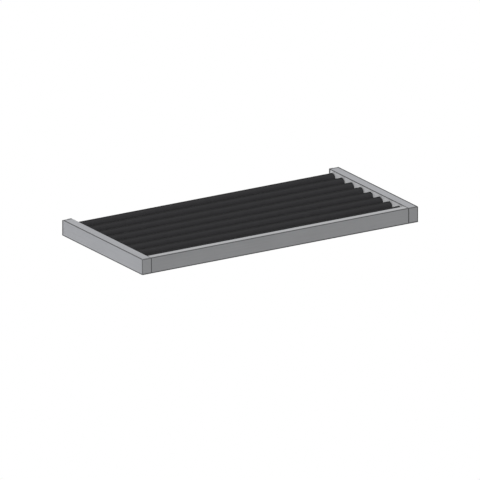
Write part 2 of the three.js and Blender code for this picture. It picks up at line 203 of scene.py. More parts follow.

# The painted shade along the edges: dark lines on the faces, like a drawn outline. A reach is how
# far they go over a face along X, Y and Z, and line_core is the share of it in full tone. They
# follow a box, whose sides are moved out of the piece, or into it where the number is negative.
# Those in lower_line, rear_line and right_line all go into it.
line_shade = 0.22
line_core = 0.5
lower_line, rear_line, right_line = 0.0012, 0.0030, 0.0021
past_joint = 0.05  # so far out that no line is left, where a face goes on in the next piece
side_reach = (0.0014, 0.0024, 0.0018)
side_outer = {"left": -0.0008, "right": 0.0006}
side_lines = {"front": -0.0010, "rear": -rear_line, "above": -0.0006}

# Limits of the modelling: points nearer than these are merged or in one place, flatter edges
# than these are smooth or needn't be eased, and a rounded corner has this many facets
same_point, same_place = 1e-7, 1e-6
flat_angle, eased_angle, smooth_angle = 0.01, 0.5, math.radians(32)
round_facets = 6


def outline(bm, corners, at, closed=True):
    """A line of edges. Each corner is (across, up, how far its rounding reaches along it)."""
    points = [bm.verts.new(at(across, up)) for across, up, _ in corners]
    for start, end in zip(points, points[1:] + points[:1] if closed else points[1:]):
        bm.edges.new((start, end))
    for reach in sorted({corner[2] for corner in corners if corner[2]}):
        rounded = [point for point, corner in zip(points, corners) if corner[2] == reach]
        bmesh.ops.bevel(
            bm, geom=rounded, offset=reach, offset_type="OFFSET", segments=round_facets,
            profile=0.5, affect="VERTICES", material=-1,
        )


def oblong(bm, across, up, rounding, at):
    """A rectangle with rounded corners, between two places across and two up."""
    outline(bm, [
        (across[0], up[0], rounding), (across[1], up[0], rounding),
        (across[1], up[1], rounding), (across[0], up[1], rounding),
    ], at)


def draw_out(bm, move):
    """Fills the outlines of a section and draws it out into a solid bar."""
    bmesh.ops.triangle_fill(bm, edges=bm.edges[:], use_beauty=True)
    bmesh.ops.dissolve_limit(bm, angle_limit=flat_angle, verts=bm.verts[:], edges=bm.edges[:])
    drawn = bmesh.ops.extrude_face_region(bm, geom=bm.faces[:])
    end = [part for part in drawn["geom"] if isinstance(part, bmesh.types.BMVert)]
    bmesh.ops.translate(bm, verts=end, vec=move)
    bmesh.ops.recalc_face_normals(bm, faces=bm.faces[:])


def ease(bm, axis, level, reach, steps=3):
    """Takes the sharpness off the edges of the flat end that lies at a level on an axis."""
    rim = [
        edge for edge in bm.edges
        if all(abs(vert.co[axis] - level) < same_place for vert in edge.verts)
        and edge.calc_face_angle(0) > eased_angle
    ]
    bmesh.ops.bevel(
        bm, geom=rim, offset=reach, offset_type="OFFSET", segments=steps, profile=0.5,
        affect="EDGES", material=-1, clamp_overlap=True,
    )


def turn(bm, profile, centre, steps=48, closed=False):
    """Adds a shape turned round an axis along X, from (place on X, radius, rounding) points."""
    y, z = centre
    shape = bmesh.new()
    outline(shape, profile, lambda x, radius: (x, y, z + radius), closed)
    bmesh.ops.spin(
        shape, geom=shape.verts[:] + shape.edges[:], cent=(0, y, z), axis=(1, 0, 0),
        dvec=(0, 0, 0), angle=math.tau, steps=steps, use_merge=True,
    )
    bmesh.ops.remove_doubles(shape, verts=shape.verts[:], dist=same_point)
    bmesh.ops.recalc_face_normals(shape, faces=shape.faces[:])
    add(bm, shape)


def pin(bm, near, far, radius, centre, steps=48):
    """Adds a plain round pin along X."""
    turn(bm, [(near, 0, 0), (near, radius, 0), (far, radius, 0), (far, 0, 0)], centre, steps)


def add(bm, shape):
    """Puts a second shape in the same mesh."""
    carrier = bpy.data.meshes.new("carrier")
    shape.to_mesh(carrier)
    shape.free()
    bm.from_mesh(carrier)
    bpy.data.meshes.remove(carrier)


def carve(bm, other, operation="DIFFERENCE"):
    """Cuts the other shape out of this one, or welds it on with UNION."""
    pair = []
    for shape in (bm, other):
        mesh = bpy.data.meshes.new("blank")
        shape.to_mesh(mesh)
        pair.append(bpy.data.objects.new("blank", mesh))
        scene.collection.objects.link(pair[-1])
    step = pair[0].modifiers.new("carve", "BOOLEAN")
    step.operation = operation
    step.object = pair[1]
    step.solver = "EXACT"
    view_layer = bpy.context.evaluated_depsgraph_get()
    result = bpy.data.meshes.new_from_object(pair[0].evaluated_get(view_layer))
    bm.clear()
    bm.from_mesh(result)
    bmesh.ops.remove_doubles(bm, verts=bm.verts[:], dist=same_point)
    other.free()
    meshes = [result] + [blank.data for blank in pair]
    for blank in pair:
        bpy.data.objects.remove(blank)
    for mesh in meshes:
        bpy.data.meshes.remove(mesh)


def place(name, bm, materials, body, node_name):
    """Makes the finished piece, on its body and in place of its CAD node.

    A left piece comes in modelled as the right one, and is mirrored here."""
    if "left" in name:
        bmesh.ops.scale(bm, vec=(-1, 1, 1), verts=bm.verts[:])
        bmesh.ops.reverse_faces(bm, faces=bm.faces[:])
    mesh = bpy.data.meshes.new(name)
    bm.to_mesh(mesh)
    bm.free()
    for material in materials:
        mesh.materials.append(material)
    mesh.shade_smooth()
    mesh.set_sharp_from_angle(angle=smooth_angle)
    piece = bpy.data.objects.new(name, mesh)
    scene.collection.objects.link(piece)
    shading = piece.modifiers.new("even_shading", "WEIGHTED_NORMAL")
    shading.keep_sharp = True
    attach(piece, body)
    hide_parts(node_name)


def group(name, inputs, outputs):
    """An empty shader node group with named sockets."""
    made = bpy.data.node_groups.new(name, "ShaderNodeTree")
    for way, sockets in (("INPUT", inputs), ("OUTPUT", outputs)):
        for socket, kind in sockets:
            made.interface.new_socket(name=socket, in_out=way, socket_type="NodeSocket" + kind)
    return made, made.nodes.new("NodeGroupInput"), made.nodes.new("NodeGroupOutput")


# The mask of the painted edge shade: how close a point of a box-shaped piece is to the nearest edge
# of its box, 1 on the line along it, 0 beyond the line's reach over the face, with a soft border
# between
painted_edge_shade, given, result = group(
    "painted_edge_shade",
    [("Vector", "Vector"), ("Centre", "Vector"), ("Half size", "Vector"), ("Reach", "Vector")],
    [("Mask", "Float")],
)
from_centre = node(
    painted_edge_shade, "VectorMath", (0, given.outputs["Vector"]), (1, given.outputs["Centre"]),
    operation="SUBTRACT",
)
unsigned = node(painted_edge_shade, "VectorMath", (0, from_centre.outputs[0]), operation="ABSOLUTE")
inside = node(
    painted_edge_shade, "VectorMath", (0, given.outputs["Half size"]), (1, unsigned.outputs[0]),
    operation="SUBTRACT",
)
reaches = node(
    painted_edge_shade, "VectorMath", (0, inside.outputs[0]), (1, given.outputs["Reach"]),
    operation="DIVIDE",
)
in_x, in_y, in_z = node(painted_edge_shade, "SeparateXYZ", (0, reaches.outputs[0])).outputs
nearer = node(painted_edge_shade, "Math", (0, in_x), (1, in_y), operation="MINIMUM")
further = node(painted_edge_shade, "Math", (0, in_x), (1, in_y), operation="MAXIMUM")
with_z = node(painted_edge_shade, "Math", (0, further.outputs[0]), (1, in_z), operation="MINIMUM")
second = node(
    painted_edge_shade, "Math", (0, nearer.outputs[0]), (1, with_z.outputs[0]), operation="MAXIMUM"
)
fade = node(
    painted_edge_shade, "MapRange", ("Value", second.outputs[0]), ("From Min", line_core),
    ("From Max", 1.0), ("To Min", 1.0), ("To Max", 0.0), interpolation_type="SMOOTHSTEP",
)
painted_edge_shade.links.new(fade.outputs["Result"], result.inputs["Mask"])

# Fine streaks along a piece whose coordinates come in stretched, over a slow drift of tone
drawn_grain, given, result = group(
    "drawn_grain", [("Streaks", "Vector"), ("Vector", "Vector")],
    [("Tone", "Float"), ("Height", "Float")],
)
streaks = node(
    drawn_grain, "TexNoise", ("Vector", given.outputs["Streaks"]), ("Scale", 1.0),
    ("Detail", 4.0), ("Roughness", 0.62),
)
drift = node(
    drawn_grain, "TexNoise", ("Vector", given.outputs["Vector"]), ("Scale", 9.0),
    ("Detail", 1.0),
)
drifting = node(
    drawn_grain, "Mix", ("Factor", 0.35), ("A", streaks.outputs["Fac"]),
    ("B", drift.outputs["Fac"]), data_type="FLOAT",
)
contrast = node(
    drawn_grain, "MapRange", ("Value", drifting.outputs["Result"]), ("From Min", 0.34),
    ("From Max", 0.66),
)
drawn_grain.links.new(contrast.outputs["Result"], result.inputs["Tone"])
drawn_grain.links.new(streaks.outputs["Fac"], result.inputs["Height"])


def new_finish(name):
    """A new material, with its node tree, its shader and the place on the piece."""
    material = bpy.data.materials.new(name)
    material.use_nodes = True
    tree = material.node_tree
    where = node(tree, "TexCoord").outputs["Object"]
    return material, tree, tree.nodes["Principled BSDF"], where


def shade(colour, factor):
    """A colour made darker or lighter by a factor, with its alpha."""
    return (*(channel * factor for channel in colour[:3]), 1)


def blend(tree, mask, first, second):
    """The first colour where the mask is 0, and the second where it is 1."""
    mixed = node(tree, "Mix", ("Factor", mask), ("A", first), ("B", second), data_type="RGBA")
    return mixed.outputs["Result"]


def ranged(tree, mask, at_0, at_1):
    """A value that follows a mask from one number to another."""
    mapped = node(tree, "MapRange", ("Value", mask), ("To Min", at_0), ("To Max", at_1))
    return mapped.outputs["Result"]


def streaked(tree, where, stretch):
    """The drawn grain, with a scale along each axis for its streaks."""
    stretched = node(tree, "Mapping", ("Vector", where), ("Scale", stretch))
    places = [("Streaks", stretched.outputs[0]), ("Vector", where)]
    return node(tree, "Group", *places, node_tree=drawn_grain)


def with_painted_edge_shade(tree, where, box, reach, face, colour):
    """The colour of a face, with a painted dark line of shade along each edge of a box laid over
    it.
    """
    low, high = Vector(box[0]), Vector(box[1])
    edges = node(
        tree, "Group", ("Vector", where), ("Centre", (low + high) / 2),
        ("Half size", (high - low) / 2), ("Reach", reach), node_tree=painted_edge_shade,
    )
    return blend(tree, edges.outputs["Mask"], face, shade(colour, line_shade))


def lay_on(tree, surface, colour, roughness, relief=None):
    """Feeds the shader its colour, roughness and relief, which is (height, strength, depth)."""
    tree.links.new(colour, surface.inputs["Base Color"])
    tree.links.new(roughness, surface.inputs["Roughness"])
    if relief:
        height, strength, depth = relief
        bump = node(tree, "Bump", ("Height", height), ("Strength", strength), ("Distance", depth))
        tree.links.new(bump.outputs["Normal"], surface.inputs["Normal"])


def line_box(node_name, outer=0.0, front=0.0, rear=0.0, above=0.0):
    """The box that the painted edge shade on a piece follows, with its sides moved out from the
    piece's own.

    A side moved far out has no line, because the piece goes on in the next one. One moved out a
    little has a narrower line on the faces beside it, and one moved in has a wider line."""
    low, high = (list(corner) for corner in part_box(node_name))
    if node_name.startswith("left"):
        low[0] -= outer
    if node_name.startswith("right"):
        high[0] += outer - right_line
    low[1] -= front
    high[1] += rear
    low[2] += lower_line
    high[2] += above
    return low, high


def anodised(name, box, run, colour, reach, roughness=satin_roughness, inner=None):
    """Satin anodised aluminium on a box-shaped piece that was drawn along one axis.

    With inner, the face that looks towards the bars has that lighter tone, which is painted light
    against the shade that the bars cast on it, and is more matt."""
    material, tree, surface, where = new_finish(name)
    stretch = [streaks_along if axis == run else streaks_across for axis in range(3)]
    grain = streaked(tree, where, stretch)
    tone = grain.outputs["Tone"]
    face = blend(tree, tone, *(shade(colour, factor) for factor in grain_shades))
    surface.inputs["Metallic"].default_value = satin_metallic
    # Painted light: the face towards the bars is made lighter and less metallic than the rest.
    if inner:
        side = min(box[0][0], box[1][0], key=abs)
        across = node(tree, "SeparateXYZ", (0, where)).outputs["X"]
        at_bars = node(
            tree, "MapRange", ("Value", across), ("From Min", side),
            ("From Max", side + math.copysign(inner_depth, side)), ("To Min", 1.0), ("To Max", 0.0),
        ).outputs["Result"]
        painted_light_inner_face = blend(tree, tone, *(shade(inner, factor) for factor in inner_shades))
        face = blend(tree, at_bars, face, painted_light_inner_face)
        sheen = ranged(tree, at_bars, satin_metallic, inner_metallic)
        tree.links.new(sheen, surface.inputs["Metallic"])
    lay_on(
        tree, surface, with_painted_edge_shade(tree, where, box, reach, face, colour),
        ranged(tree, tone, roughness + grain_roughness, roughness - grain_roughness),
        (grain.outputs["Height"], *grain_relief),
    )
    return material


for hand in ("left", "right"):
    low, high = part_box("right_side_profile")
    bm = bmesh.new()
    outline(bm, [
        (low[0], low[2], outer_round),
        (high[0], low[2], lip_round),
        (high[0], low[2] + profile_wall, lip_round),
        (channel_floor, low[2] + profile_wall, lip_round),
        (channel_floor, high[2] - profile_wall, lip_round),
        (high[0], high[2] - profile_wall, lip_round),
        (high[0], high[2], lip_round),
        (low[0], high[2], outer_round),
    ], lambda across, up: (across, low[1], up))
    oblong(
        bm, chamber, (low[2] + profile_wall, high[2] - profile_wall), outer_round,
        lambda across, up: (across, low[1], up),
    )
    draw_out(bm, (0, high[1] - low[1], 0))
    ease(bm, 1, low[1], sawn_edge)
    ease(bm, 1, high[1], sawn_edge)
    inner_wall = (low[0] - cut_past, chamber[0] + cut_past)
    outer_wall = (chamber[1] - cut_past, channel_floor + cut_past)
    holes = bmesh.new()
    for centre in [(y, bar_height) for y in bar_places] + port_places:
        pin(holes, *inner_wall, screw_hole, centre)
        pin(holes, *outer_wall, driver_hole, centre)
    for y in rivet_places:
        pin(holes, *outer_wall, rivet_hole, (y, middle_height))
    carve(bm, holes)
    box = line_box(f"{hand}_side_profile", outer=side_outer[hand], **side_lines)
    finish = anodised(
        f"{hand}_profile_anodised", box, 1, frame_tone, side_reach, inner=painted_light_inner_tone,
    )
    place(
        f"{hand}_side_extrusion", bm, [finish], "rack",
        f"{hand}_side_profile",
    )


# Front rail
# A rectangular aluminium extrusion between the side profiles, from the same anodising batch; its
# tone is painted lighter than the profiles' to lift its front face, which the lamps light less. It
# is hollow, with two slotted ports on its rear wall. Two screws through each side profile thread
# into the ports, so nothing shows on its front.
rail_wall = 0.002
# Painted light: lighter than the side profiles' tone, to lift the rail's less lit front face.
rail_tone_painted_lighter = (0.535, 0.541, 0.555)
rail_reach = (0.0010, 0.0040, 0.0019)
rail_lines = {"front": -0.0018, "rear": 0.0025, "above": 0.0006}
rail_seam = 0.0016  # the seam beside the right cap is a line on the rail alone
port_radius = 0.0038
port_slot = 0.0016

low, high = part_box("front_rail")
bm = bmesh.new()
for inset in (0, rail_wall):
    oblong(
        bm, (low[1] + inset, high[1] - inset), (low[2] + inset, high[2] - inset), outer_round,
        lambda across, up: (low[0], across, up),
    )
draw_out(bm, (high[0] - low[0], 0, 0))
ease(bm, 0, low[0], sawn_edge)
ease(bm, 0, high[0], sawn_edge)
ports = bmesh.new()
openings = bmesh.new()
for y, z in port_places:
    pin(ports, low[0] + sawn_edge, high[0] - sawn_edge, port_radius, (y, z))
    near, far = low[0] - cut_past, high[0] + cut_past
    pin(openings, near, far, screw_hole, (y, z))
    slot = bmesh.new()
    oblong(
        slot, (y - port_radius - cut_past, y), (z - port_slot / 2, z + port_slot / 2), 0,
        lambda across, up: (near, across, up),
    )
    draw_out(slot, (far - near, 0, 0))
    carve(openings, slot, "UNION")
carve(bm, ports, "UNION")
carve(bm, openings)
box = line_box("front_rail", **rail_lines)
box[1][0] -= rail_seam
finish = anodised("front_rail_anodised", box, 0, rail_tone_painted_lighter, rail_reach)
place("front_rail_extrusion", bm, [finish], "rack", "front_rail")


# End caps
# Moulded caps close the sawn ends of the side profiles. Each holds by a hollow tongue that plugs
# the chamber. Their plastic is matched to the anodising, with the fine even texture that a
# spark-eroded mould leaves.
cap_thickness = 0.0018
tongue_gap = 0.0003
tongue_wall = 0.0015
cap_round = 0.0005
cap_tone = (0.50, 0.506, 0.52)
cap_shades = (0.95, 1.05)
cap_texture = 2600.0
cap_roughness = (0.42, 0.56)
cap_relief = (0.25, 0.00005)
cap_metallic = 0.3
cap_reach = (0.0018, 0.0018, 0.0021)
cap_lines = {"outer": 0.0007, "above": 0.0005}
cap_joints = {"front": {"rear": past_joint}, "rear": {"front": past_joint, "rear": -rear_line}}

# An even pebbled texture, finer or coarser by its scale
pebbled, given, result = group(
    "pebbled", [("Vector", "Vector"), ("Scale", "Float")],
    [("Tone", "Float"), ("Height", "Float")],
)
pebbles = node(
    pebbled, "TexVoronoi", ("Vector", given.outputs["Vector"]),
    ("Scale", given.outputs["Scale"]), ("Randomness", 0.9), feature="SMOOTH_F1",
)
cloud = node(
    pebbled, "TexNoise", ("Vector", given.outputs["Vector"]), ("Scale", 55.0), ("Detail", 3.0),
)
clouded = node(
    pebbled, "Mix", ("Factor", 0.5), ("A", pebbles.outputs["Distance"]),
    ("B", cloud.outputs["Fac"]), data_type="FLOAT",
)
pebbled.links.new(clouded.outputs["Result"], result.inputs["Tone"])
pebbled.links.new(pebbles.outputs["Distance"], result.inputs["Height"])


def pebbling(tree, where, scale):
    """The tone and the height of the pebbled texture."""
    texture = node(tree, "Group", ("Vector", where), ("Scale", scale), node_tree=pebbled)
    return texture.outputs["Tone"], texture.outputs["Height"]


def moulded(name, box):
    """Matt moulded plastic on a cap."""
    material, tree, surface, where = new_finish(name)
    tone, height = pebbling(tree, where, cap_texture)
    face = blend(tree, tone, *(shade(cap_tone, factor) for factor in cap_shades))
    lay_on(
        tree, surface, with_painted_edge_shade(tree, where, box, cap_reach, face, cap_tone),
        ranged(tree, tone, *cap_roughness), (height, *cap_relief),
    )
    surface.inputs["Metallic"].default_value = cap_metallic
    return material


for hand in ("left", "right"):
    for end in ("front", "rear"):
        low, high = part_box(f"right_{end}_cap")
        shown = low[1] if end == "front" else high[1]
        hidden = shown + cap_thickness if end == "front" else shown - cap_thickness
        root = (shown + hidden) / 2
        tip = high[1] if end == "front" else low[1]
        bm = bmesh.new()
        oblong(
            bm, (low[0], high[0]), (low[2], high[2]), outer_round,
            lambda across, up: (across, shown, up),
        )
        draw_out(bm, (0, hidden - shown, 0))
        ease(bm, 1, shown, cap_round, steps=4)
        tongue = bmesh.new()
        for inset in (tongue_gap, tongue_gap + tongue_wall):
            oblong(
                tongue, (chamber[0] + inset, chamber[1] - inset),
                (low[2] + profile_wall + inset, high[2] - profile_wall - inset),
                outer_round / 2, lambda across, up: (across, root, up),
            )
        draw_out(tongue, (0, tip - root, 0))
        ease(tongue, 1, tip, tongue_gap)
        carve(bm, tongue, "UNION")
        box = line_box(f"{hand}_{end}_cap", **cap_lines, **cap_joints[end])
        if (hand, end) == ("right", "front"):
            # The line of this seam is on the rail, so that the cap needs none beside it
            box[0][0] -= past_joint
        finish = moulded(f"{hand}_{end}_cap_plastic", box)
        place(
            f"{hand}_{end}_moulded_cap", bm, [finish], "rack", f"{hand}_{end}_cap",
        )


# Bar tubes
# A drawn aluminium tube carries each bar, with a plug pressed into each end for the screw. Only
# its sawn ends show, in the narrow gap between the sleeve and the side profile.
tube_wall = 0.0015
plug_length = 0.014
tube_ease = 0.0002
tube_dark, tube_light = (0.52, 0.53, 0.54, 1), (0.72, 0.73, 0.74, 1)
tube_stretch = (6.0, 1800.0, 1800.0)
tube_roughness = (0.28, 0.4)
tube_metallic = 0.95

drawn_tube, tree, surface, where = new_finish("drawn_tube")
tone = streaked(tree, where, tube_stretch).outputs["Tone"]
lay_on(
    tree, surface, blend(tree, tone, tube_dark, tube_light), ranged(tree, tone, *tube_roughness),
)
surface.inputs["Metallic"].default_value = tube_metallic

for number, y in enumerate(bar_places, 1):
    low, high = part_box(f"bar_{number}_tube")
    radius = (high[2] - low[2]) / 2
    bm = bmesh.new()
    turn(bm, [
        (low[0], screw_hole, 0), (low[0], radius, tube_ease), (high[0], radius, tube_ease),
        (high[0], screw_hole, 0), (high[0] - plug_length, screw_hole, 0),
        (high[0] - plug_length, radius - tube_wall, 0),
        (low[0] + plug_length, radius - tube_wall, 0), (low[0] + plug_length, screw_hole, 0),
    ], (y, bar_height), closed=True)
    place(f"bar_{number}_drawn_tube", bm, [drawn_tube], "rack", f"bar_{number}_tube")


# Bar sleeves
# A soft black sleeve covers each tube from end to end, so that trousers don't slide on it. It is
# an extruded elastomer, dull and very slightly grained, and its cut ends are a little rounded.
sleeve_wall = 0.001
sleeve_round = 0.0006
sleeve_radius = 0.011
# Painted shading by height: lightest on the upper flank, darker up to the crown, a painted dark
# line along the very top, and darker again at the height of the axis.
sleeve_painted_shading = [  # from the height of the axis, at 0, to the top of the sleeve, at 1
    (0.0, 0.034), (0.1, 0.056), (0.35, 0.060), (0.62, 0.0535), (0.84, 0.048), (0.94, 0.036),
    (1.0, 0.011),
]
sleeve_tint = (1, 0.99, 1.05)
sleeve_speckle = (0.8, 1.2)
sleeve_texture = 1500.0
sleeve_roughness = (0.72, 0.86)
sleeve_relief = (0.3, 0.00008)
sleeve_specular = 0.15

soft_black, tree, surface, where = new_finish("soft_black_sleeve")
tone, relief = pebbling(tree, where, sleeve_texture)
# The sleeve's colour follows its height, which paints shade and light on it rather than any colour
# of the rubber itself.
rise = node(
    tree, "MapRange", ("Value", node(tree, "SeparateXYZ", (0, where)).outputs["Z"]),
    ("From Min", bar_height), ("From Max", bar_height + sleeve_radius),
)
rubber = node(tree, "ValToRGB", ("Fac", rise.outputs["Result"]))
ramp = rubber.color_ramp.elements
for level, _ in sleeve_painted_shading[1:-1]:
    ramp.new(level)
for point, (level, grey) in zip(ramp, sleeve_painted_shading):
    point.position = level
    point.color = (*(grey * channel for channel in sleeve_tint), 1)
speckled = node(
    tree, "VectorMath", (0, rubber.outputs["Color"]),
    ("Scale", ranged(tree, tone, *sleeve_speckle)), operation="SCALE",
)
lay_on(
    tree, surface, speckled.outputs[0], ranged(tree, tone, *sleeve_roughness),
    (relief, *sleeve_relief),
)
surface.inputs["Specular IOR Level"].default_value = sleeve_specular

for number, y in enumerate(bar_places, 1):
    low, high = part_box(f"bar_{number}_sleeve")
    radius = (high[2] - low[2]) / 2
    bm = bmesh.new()
    turn(bm, [
        (low[0], radius - sleeve_wall, 0), (low[0], radius, sleeve_round),
        (high[0], radius, sleeve_round), (high[0], radius - sleeve_wall, 0),
    ], (y, bar_height), steps=96, closed=True)
    place(
        f"bar_{number}_soft_sleeve", bm, [soft_black], "rack",
        f"bar_{number}_sleeve",
    )


# Button-head screws
# M4 screws hold the bars and the front rail. Their round heads sit inside the chamber of the side
# profile, on its inner wall, and are turned from there with a 2.5 mm key through the driver
# holes. They are zinc-plated.
head_radius, head_height = 0.0038, 0.0024
head_round, under_head_round = 0.0011, 0.0002
key_radius, key_depth = 0.00145, 0.0013
key_point = 0.0004  # the bottom of the key's hexagon is a shallow cone
thread_radius, root_radius = 0.002, 0.00165
thread_pitch = 0.0007


def pebbled_finish(name, scale, dark, light, roughness, metallic, relief=None):
    """A finish whose tone and roughness follow the pebbled texture, with a relief if given."""
    material, tree, surface, where = new_finish(name)
    tone, height = pebbling(tree, where, scale)
    lay_on(
        tree, surface, blend(tree, tone, dark, light), ranged(tree, tone, *roughness),
        (height, *relief) if relief else None,
    )
    surface.inputs["Metallic"].default_value = metallic
    return material


plated = pebbled_finish(
    "plated_screw", scale=900.0, dark=(0.50, 0.51, 0.53, 1), light=(0.68, 0.69, 0.70, 1),
    roughness=(0.22, 0.36), metallic=1.0,
)
screws = [(f"bar_{i + 1}", "", (y, bar_height)) for i, y in enumerate(bar_places)]
screws += [("front_rail", "lower_", port_places[0]), ("front_rail", "upper_", port_places[1])]
for holder, level, centre in screws:
    for hand in ("left", "right"):
        node_name = f"{holder}_{hand}_{level}screw"
        low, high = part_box(f"{holder}_right_{level}screw")
        under_head = high[0] - head_height
        threads = int((under_head - low[0]) / thread_pitch) - 1
        profile = [(low[0], 0, 0), (low[0], root_radius, 0)]
        for groove in range(threads):
            start = low[0] + groove * thread_pitch
            profile.append((start + thread_pitch / 2, thread_radius, 0))
            profile.append((start + thread_pitch, root_radius, 0))
        profile += [
            (under_head - thread_pitch / 2, thread_radius, 0), (under_head, thread_radius, 0),
            (under_head, head_radius, under_head_round), (high[0], head_radius, head_round),
            (high[0], 0, 0),
        ]
        bm = bmesh.new()
        turn(bm, profile, centre, steps=24)
        key = bmesh.new()
        turn(key, [
            (high[0] - key_depth - key_point, 0, 0), (high[0] - key_depth, key_radius, 0),
            (high[0] + cut_past, key_radius, 0), (high[0] + cut_past, 0, 0),
        ], centre, steps=6)
        carve(bm, key)
        place(f"{node_name}_m4", bm, [plated], "rack", node_name)


# Mounting plates
# A flat aluminium plate on each side goes against the wall of the bay. It is as high as the
# frame, and sheared from satin sheet of the same tone. Countersunk holes for the wood screws,
# which also hold the slide, stop at a thin skin that the screws break through.
plate_round = 0.0015
plate_ease = 0.0003
mount_places = [-0.1386, -0.0426, 0.1174]
sink_radius, shank_radius = 0.004, 0.0021
sink_past = 0.0003
plate_skin = 0.0003
slide_strip = 0.0012
plate_roughness = 0.48
plate_reach = (0.0018, 0.0024, 0.0018)
plate_lines = {"front": past_joint, "rear": -rear_line, "above": 0.0009}


def mount_holes():
    """Cutters of the countersunk holes through a slide and into the plate behind it."""
    cutters = bmesh.new()
    plate_low, plate_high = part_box("right_mounting_plate")
    mouth = plate_low[0] - slide_strip
    end = plate_high[0] - plate_skin
    sink_end = min(mouth + sink_radius - shank_radius, end)
    for y in mount_places:
        turn(cutters, [
            (mouth - sink_past, 0, 0), (mouth - sink_past, sink_radius, 0),
            (mouth, sink_radius, 0), (sink_end, shank_radius, 0), (end, shank_radius, 0),
            (end, 0, 0),
        ], (y, middle_height))
    return cutters


for hand in ("left", "right"):
    low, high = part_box("right_mounting_plate")
    bm = bmesh.new()
    oblong(
        bm, (low[1], high[1]), (low[2], high[2]), plate_round,
        lambda across, up: (low[0], across, up),
    )
    draw_out(bm, (high[0] - low[0], 0, 0))
    ease(bm, 0, high[0], plate_ease)
    carve(bm, mount_holes())
    box = line_box(f"{hand}_mounting_plate", **plate_lines)
    finish = anodised(f"{hand}_plate_satin", box, 1, frame_tone, plate_reach, plate_roughness)
    place(
        f"{hand}_wall_plate", bm, [finish], "wall_plates",
        f"{hand}_mounting_plate",
    )


# Ball slides
# Each slide is three members roll-formed from steel strip and bright zinc-plated. The outer one
# is screwed to the wall with the plate, the inner one is riveted to the side profile, and the
# one between them runs on both. Formed races on their edges hold the balls.
slide_thickness = 0.0127
ball_radius, ball_clearance = 0.0015, 0.00015
race_dip = 0.0005
web_bend = 0.0009
bend_to_dip, race_to_face = 0.0004, 0.0005  # the room between the two
cage_strip, cage_gap = 0.0006, 0.0003
crease = 0.0002
strip_ease = 0.00015
rivet_head, rivet_rise = 0.004, 0.0008
rivet_fit = 0.0002
driver_cut = 0.002
peg_hole = 0.0018
stop_thickness = 0.004
tab_gap = 0.0003
tab_half = driver_hole + 0.002
tab_round = 0.0006
sunk = 0.00002  # how far rivets and tabs keep off the strip's faces, so that none coincide
zinc_tone, zinc_shades = (0.62, 0.635, 0.65), (0.86, 1.1)
patch_tone, patch_scale = (0.56, 0.59, 0.62), 160.0
zinc_stretch = (1100.0, 9.0, 1100.0)
zinc_roughness = (0.24, 0.42)
zinc_relief = (0.1, 0.00003)

# A slide's section is worked out from the wall: (distance from the plate, height over the middle)
fixed_low, fixed_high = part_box("right_cabinet_member")
race_radius = ball_radius + ball_clearance + slide_strip / 2
dip_angle = math.acos((race_radius - race_dip) / race_radius)
dip_half = race_radius * math.sin(dip_angle)
dip_reach = race_radius * math.tan(dip_angle)
dip_depth = race_radius / math.cos(dip_angle)
half_height = (fixed_high[2] - fixed_low[2]) / 2
fixed_web = slide_strip / 2
outer_cage_web = slide_strip + cage_gap + cage_strip / 2
middle_web = outer_cage_web + cage_strip / 2 + cage_gap + slide_strip / 2
inner_cage_web = middle_web + slide_strip / 2 + cage_gap + cage_strip / 2
moving_web = slide_thickness - slide_strip / 2
fixed_flange = half_height - slide_strip / 2
outer_balls = (middle_web + web_bend + bend_to_dip + dip_half, fixed_flange - race_radius)
middle_flange = outer_balls[1] - race_radius + race_dip
inner_balls = (
    slide_thickness - slide_strip * 1.5 - race_to_face - race_radius,
    middle_flange - race_radius,
)
moving_flange = inner_balls[1] - race_radius + race_dip
moving_flange_end = inner_cage_web + cage_strip / 2 + cage_gap
plate_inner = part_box("right_mounting_plate")[0][0]

# Zinc: a fine drawn grain under faint cloudy patches of lighter and darker plating
zinced, tree, surface, where = new_finish("zinced_strip")
grain = streaked(tree, where, zinc_stretch)
patches, _ = pebbling(tree, where, patch_scale)
bright = blend(
    tree, grain.outputs["Tone"], *(shade(zinc_tone, factor) for factor in zinc_shades),
)
lay_on(
    tree, surface, blend(tree, patches, bright, (*patch_tone, 1)),
    ranged(tree, patches, *zinc_roughness), (grain.outputs["Height"], *zinc_relief),
)
surface.inputs["Metallic"].default_value = 1.0


def strip(upper_half, thickness, y_start, y_end):
    """A strip bent to the upper half of a centre line and its mirror image below.

    Each corner is (distance from the plate, height over the middle, rounding)."""
    lower_half = [(across, -up, reach) for across, up, reach in reversed(upper_half)]
    bm = bmesh.new()
    outline(
        bm, lower_half + upper_half,
        lambda across, up: (plate_inner - across, y_start, middle_height + up), closed=False,
    )
    bmesh.ops.remove_doubles(bm, verts=bm.verts[:], dist=same_place)
    sheet = bmesh.ops.extrude_edge_only(bm, edges=bm.edges[:])
    end = [part for part in sheet["geom"] if isinstance(part, bmesh.types.BMVert)]
    bmesh.ops.translate(bm, verts=end, vec=(0, y_end - y_start, 0))
    bmesh.ops.recalc_face_normals(bm, faces=bm.faces[:])
    mesh = bpy.data.meshes.new("strip")
    bm.to_mesh(mesh)
    blank = bpy.data.objects.new("strip", mesh)
    scene.collection.objects.link(blank)
    wall = blank.modifiers.new("wall", "SOLIDIFY")
    wall.thickness = thickness
    wall.offset = 0
    wall.use_even_offset = True
    view_layer = bpy.context.evaluated_depsgraph_get()
    result = bpy.data.meshes.new_from_object(blank.evaluated_get(view_layer))
    bm.clear()
    bm.from_mesh(result)
    bpy.data.objects.remove(blank)
    for used in (mesh, result):
        bpy.data.meshes.remove(used)
    bmesh.ops.recalc_face_normals(bm, faces=bm.faces[:])
    return bm


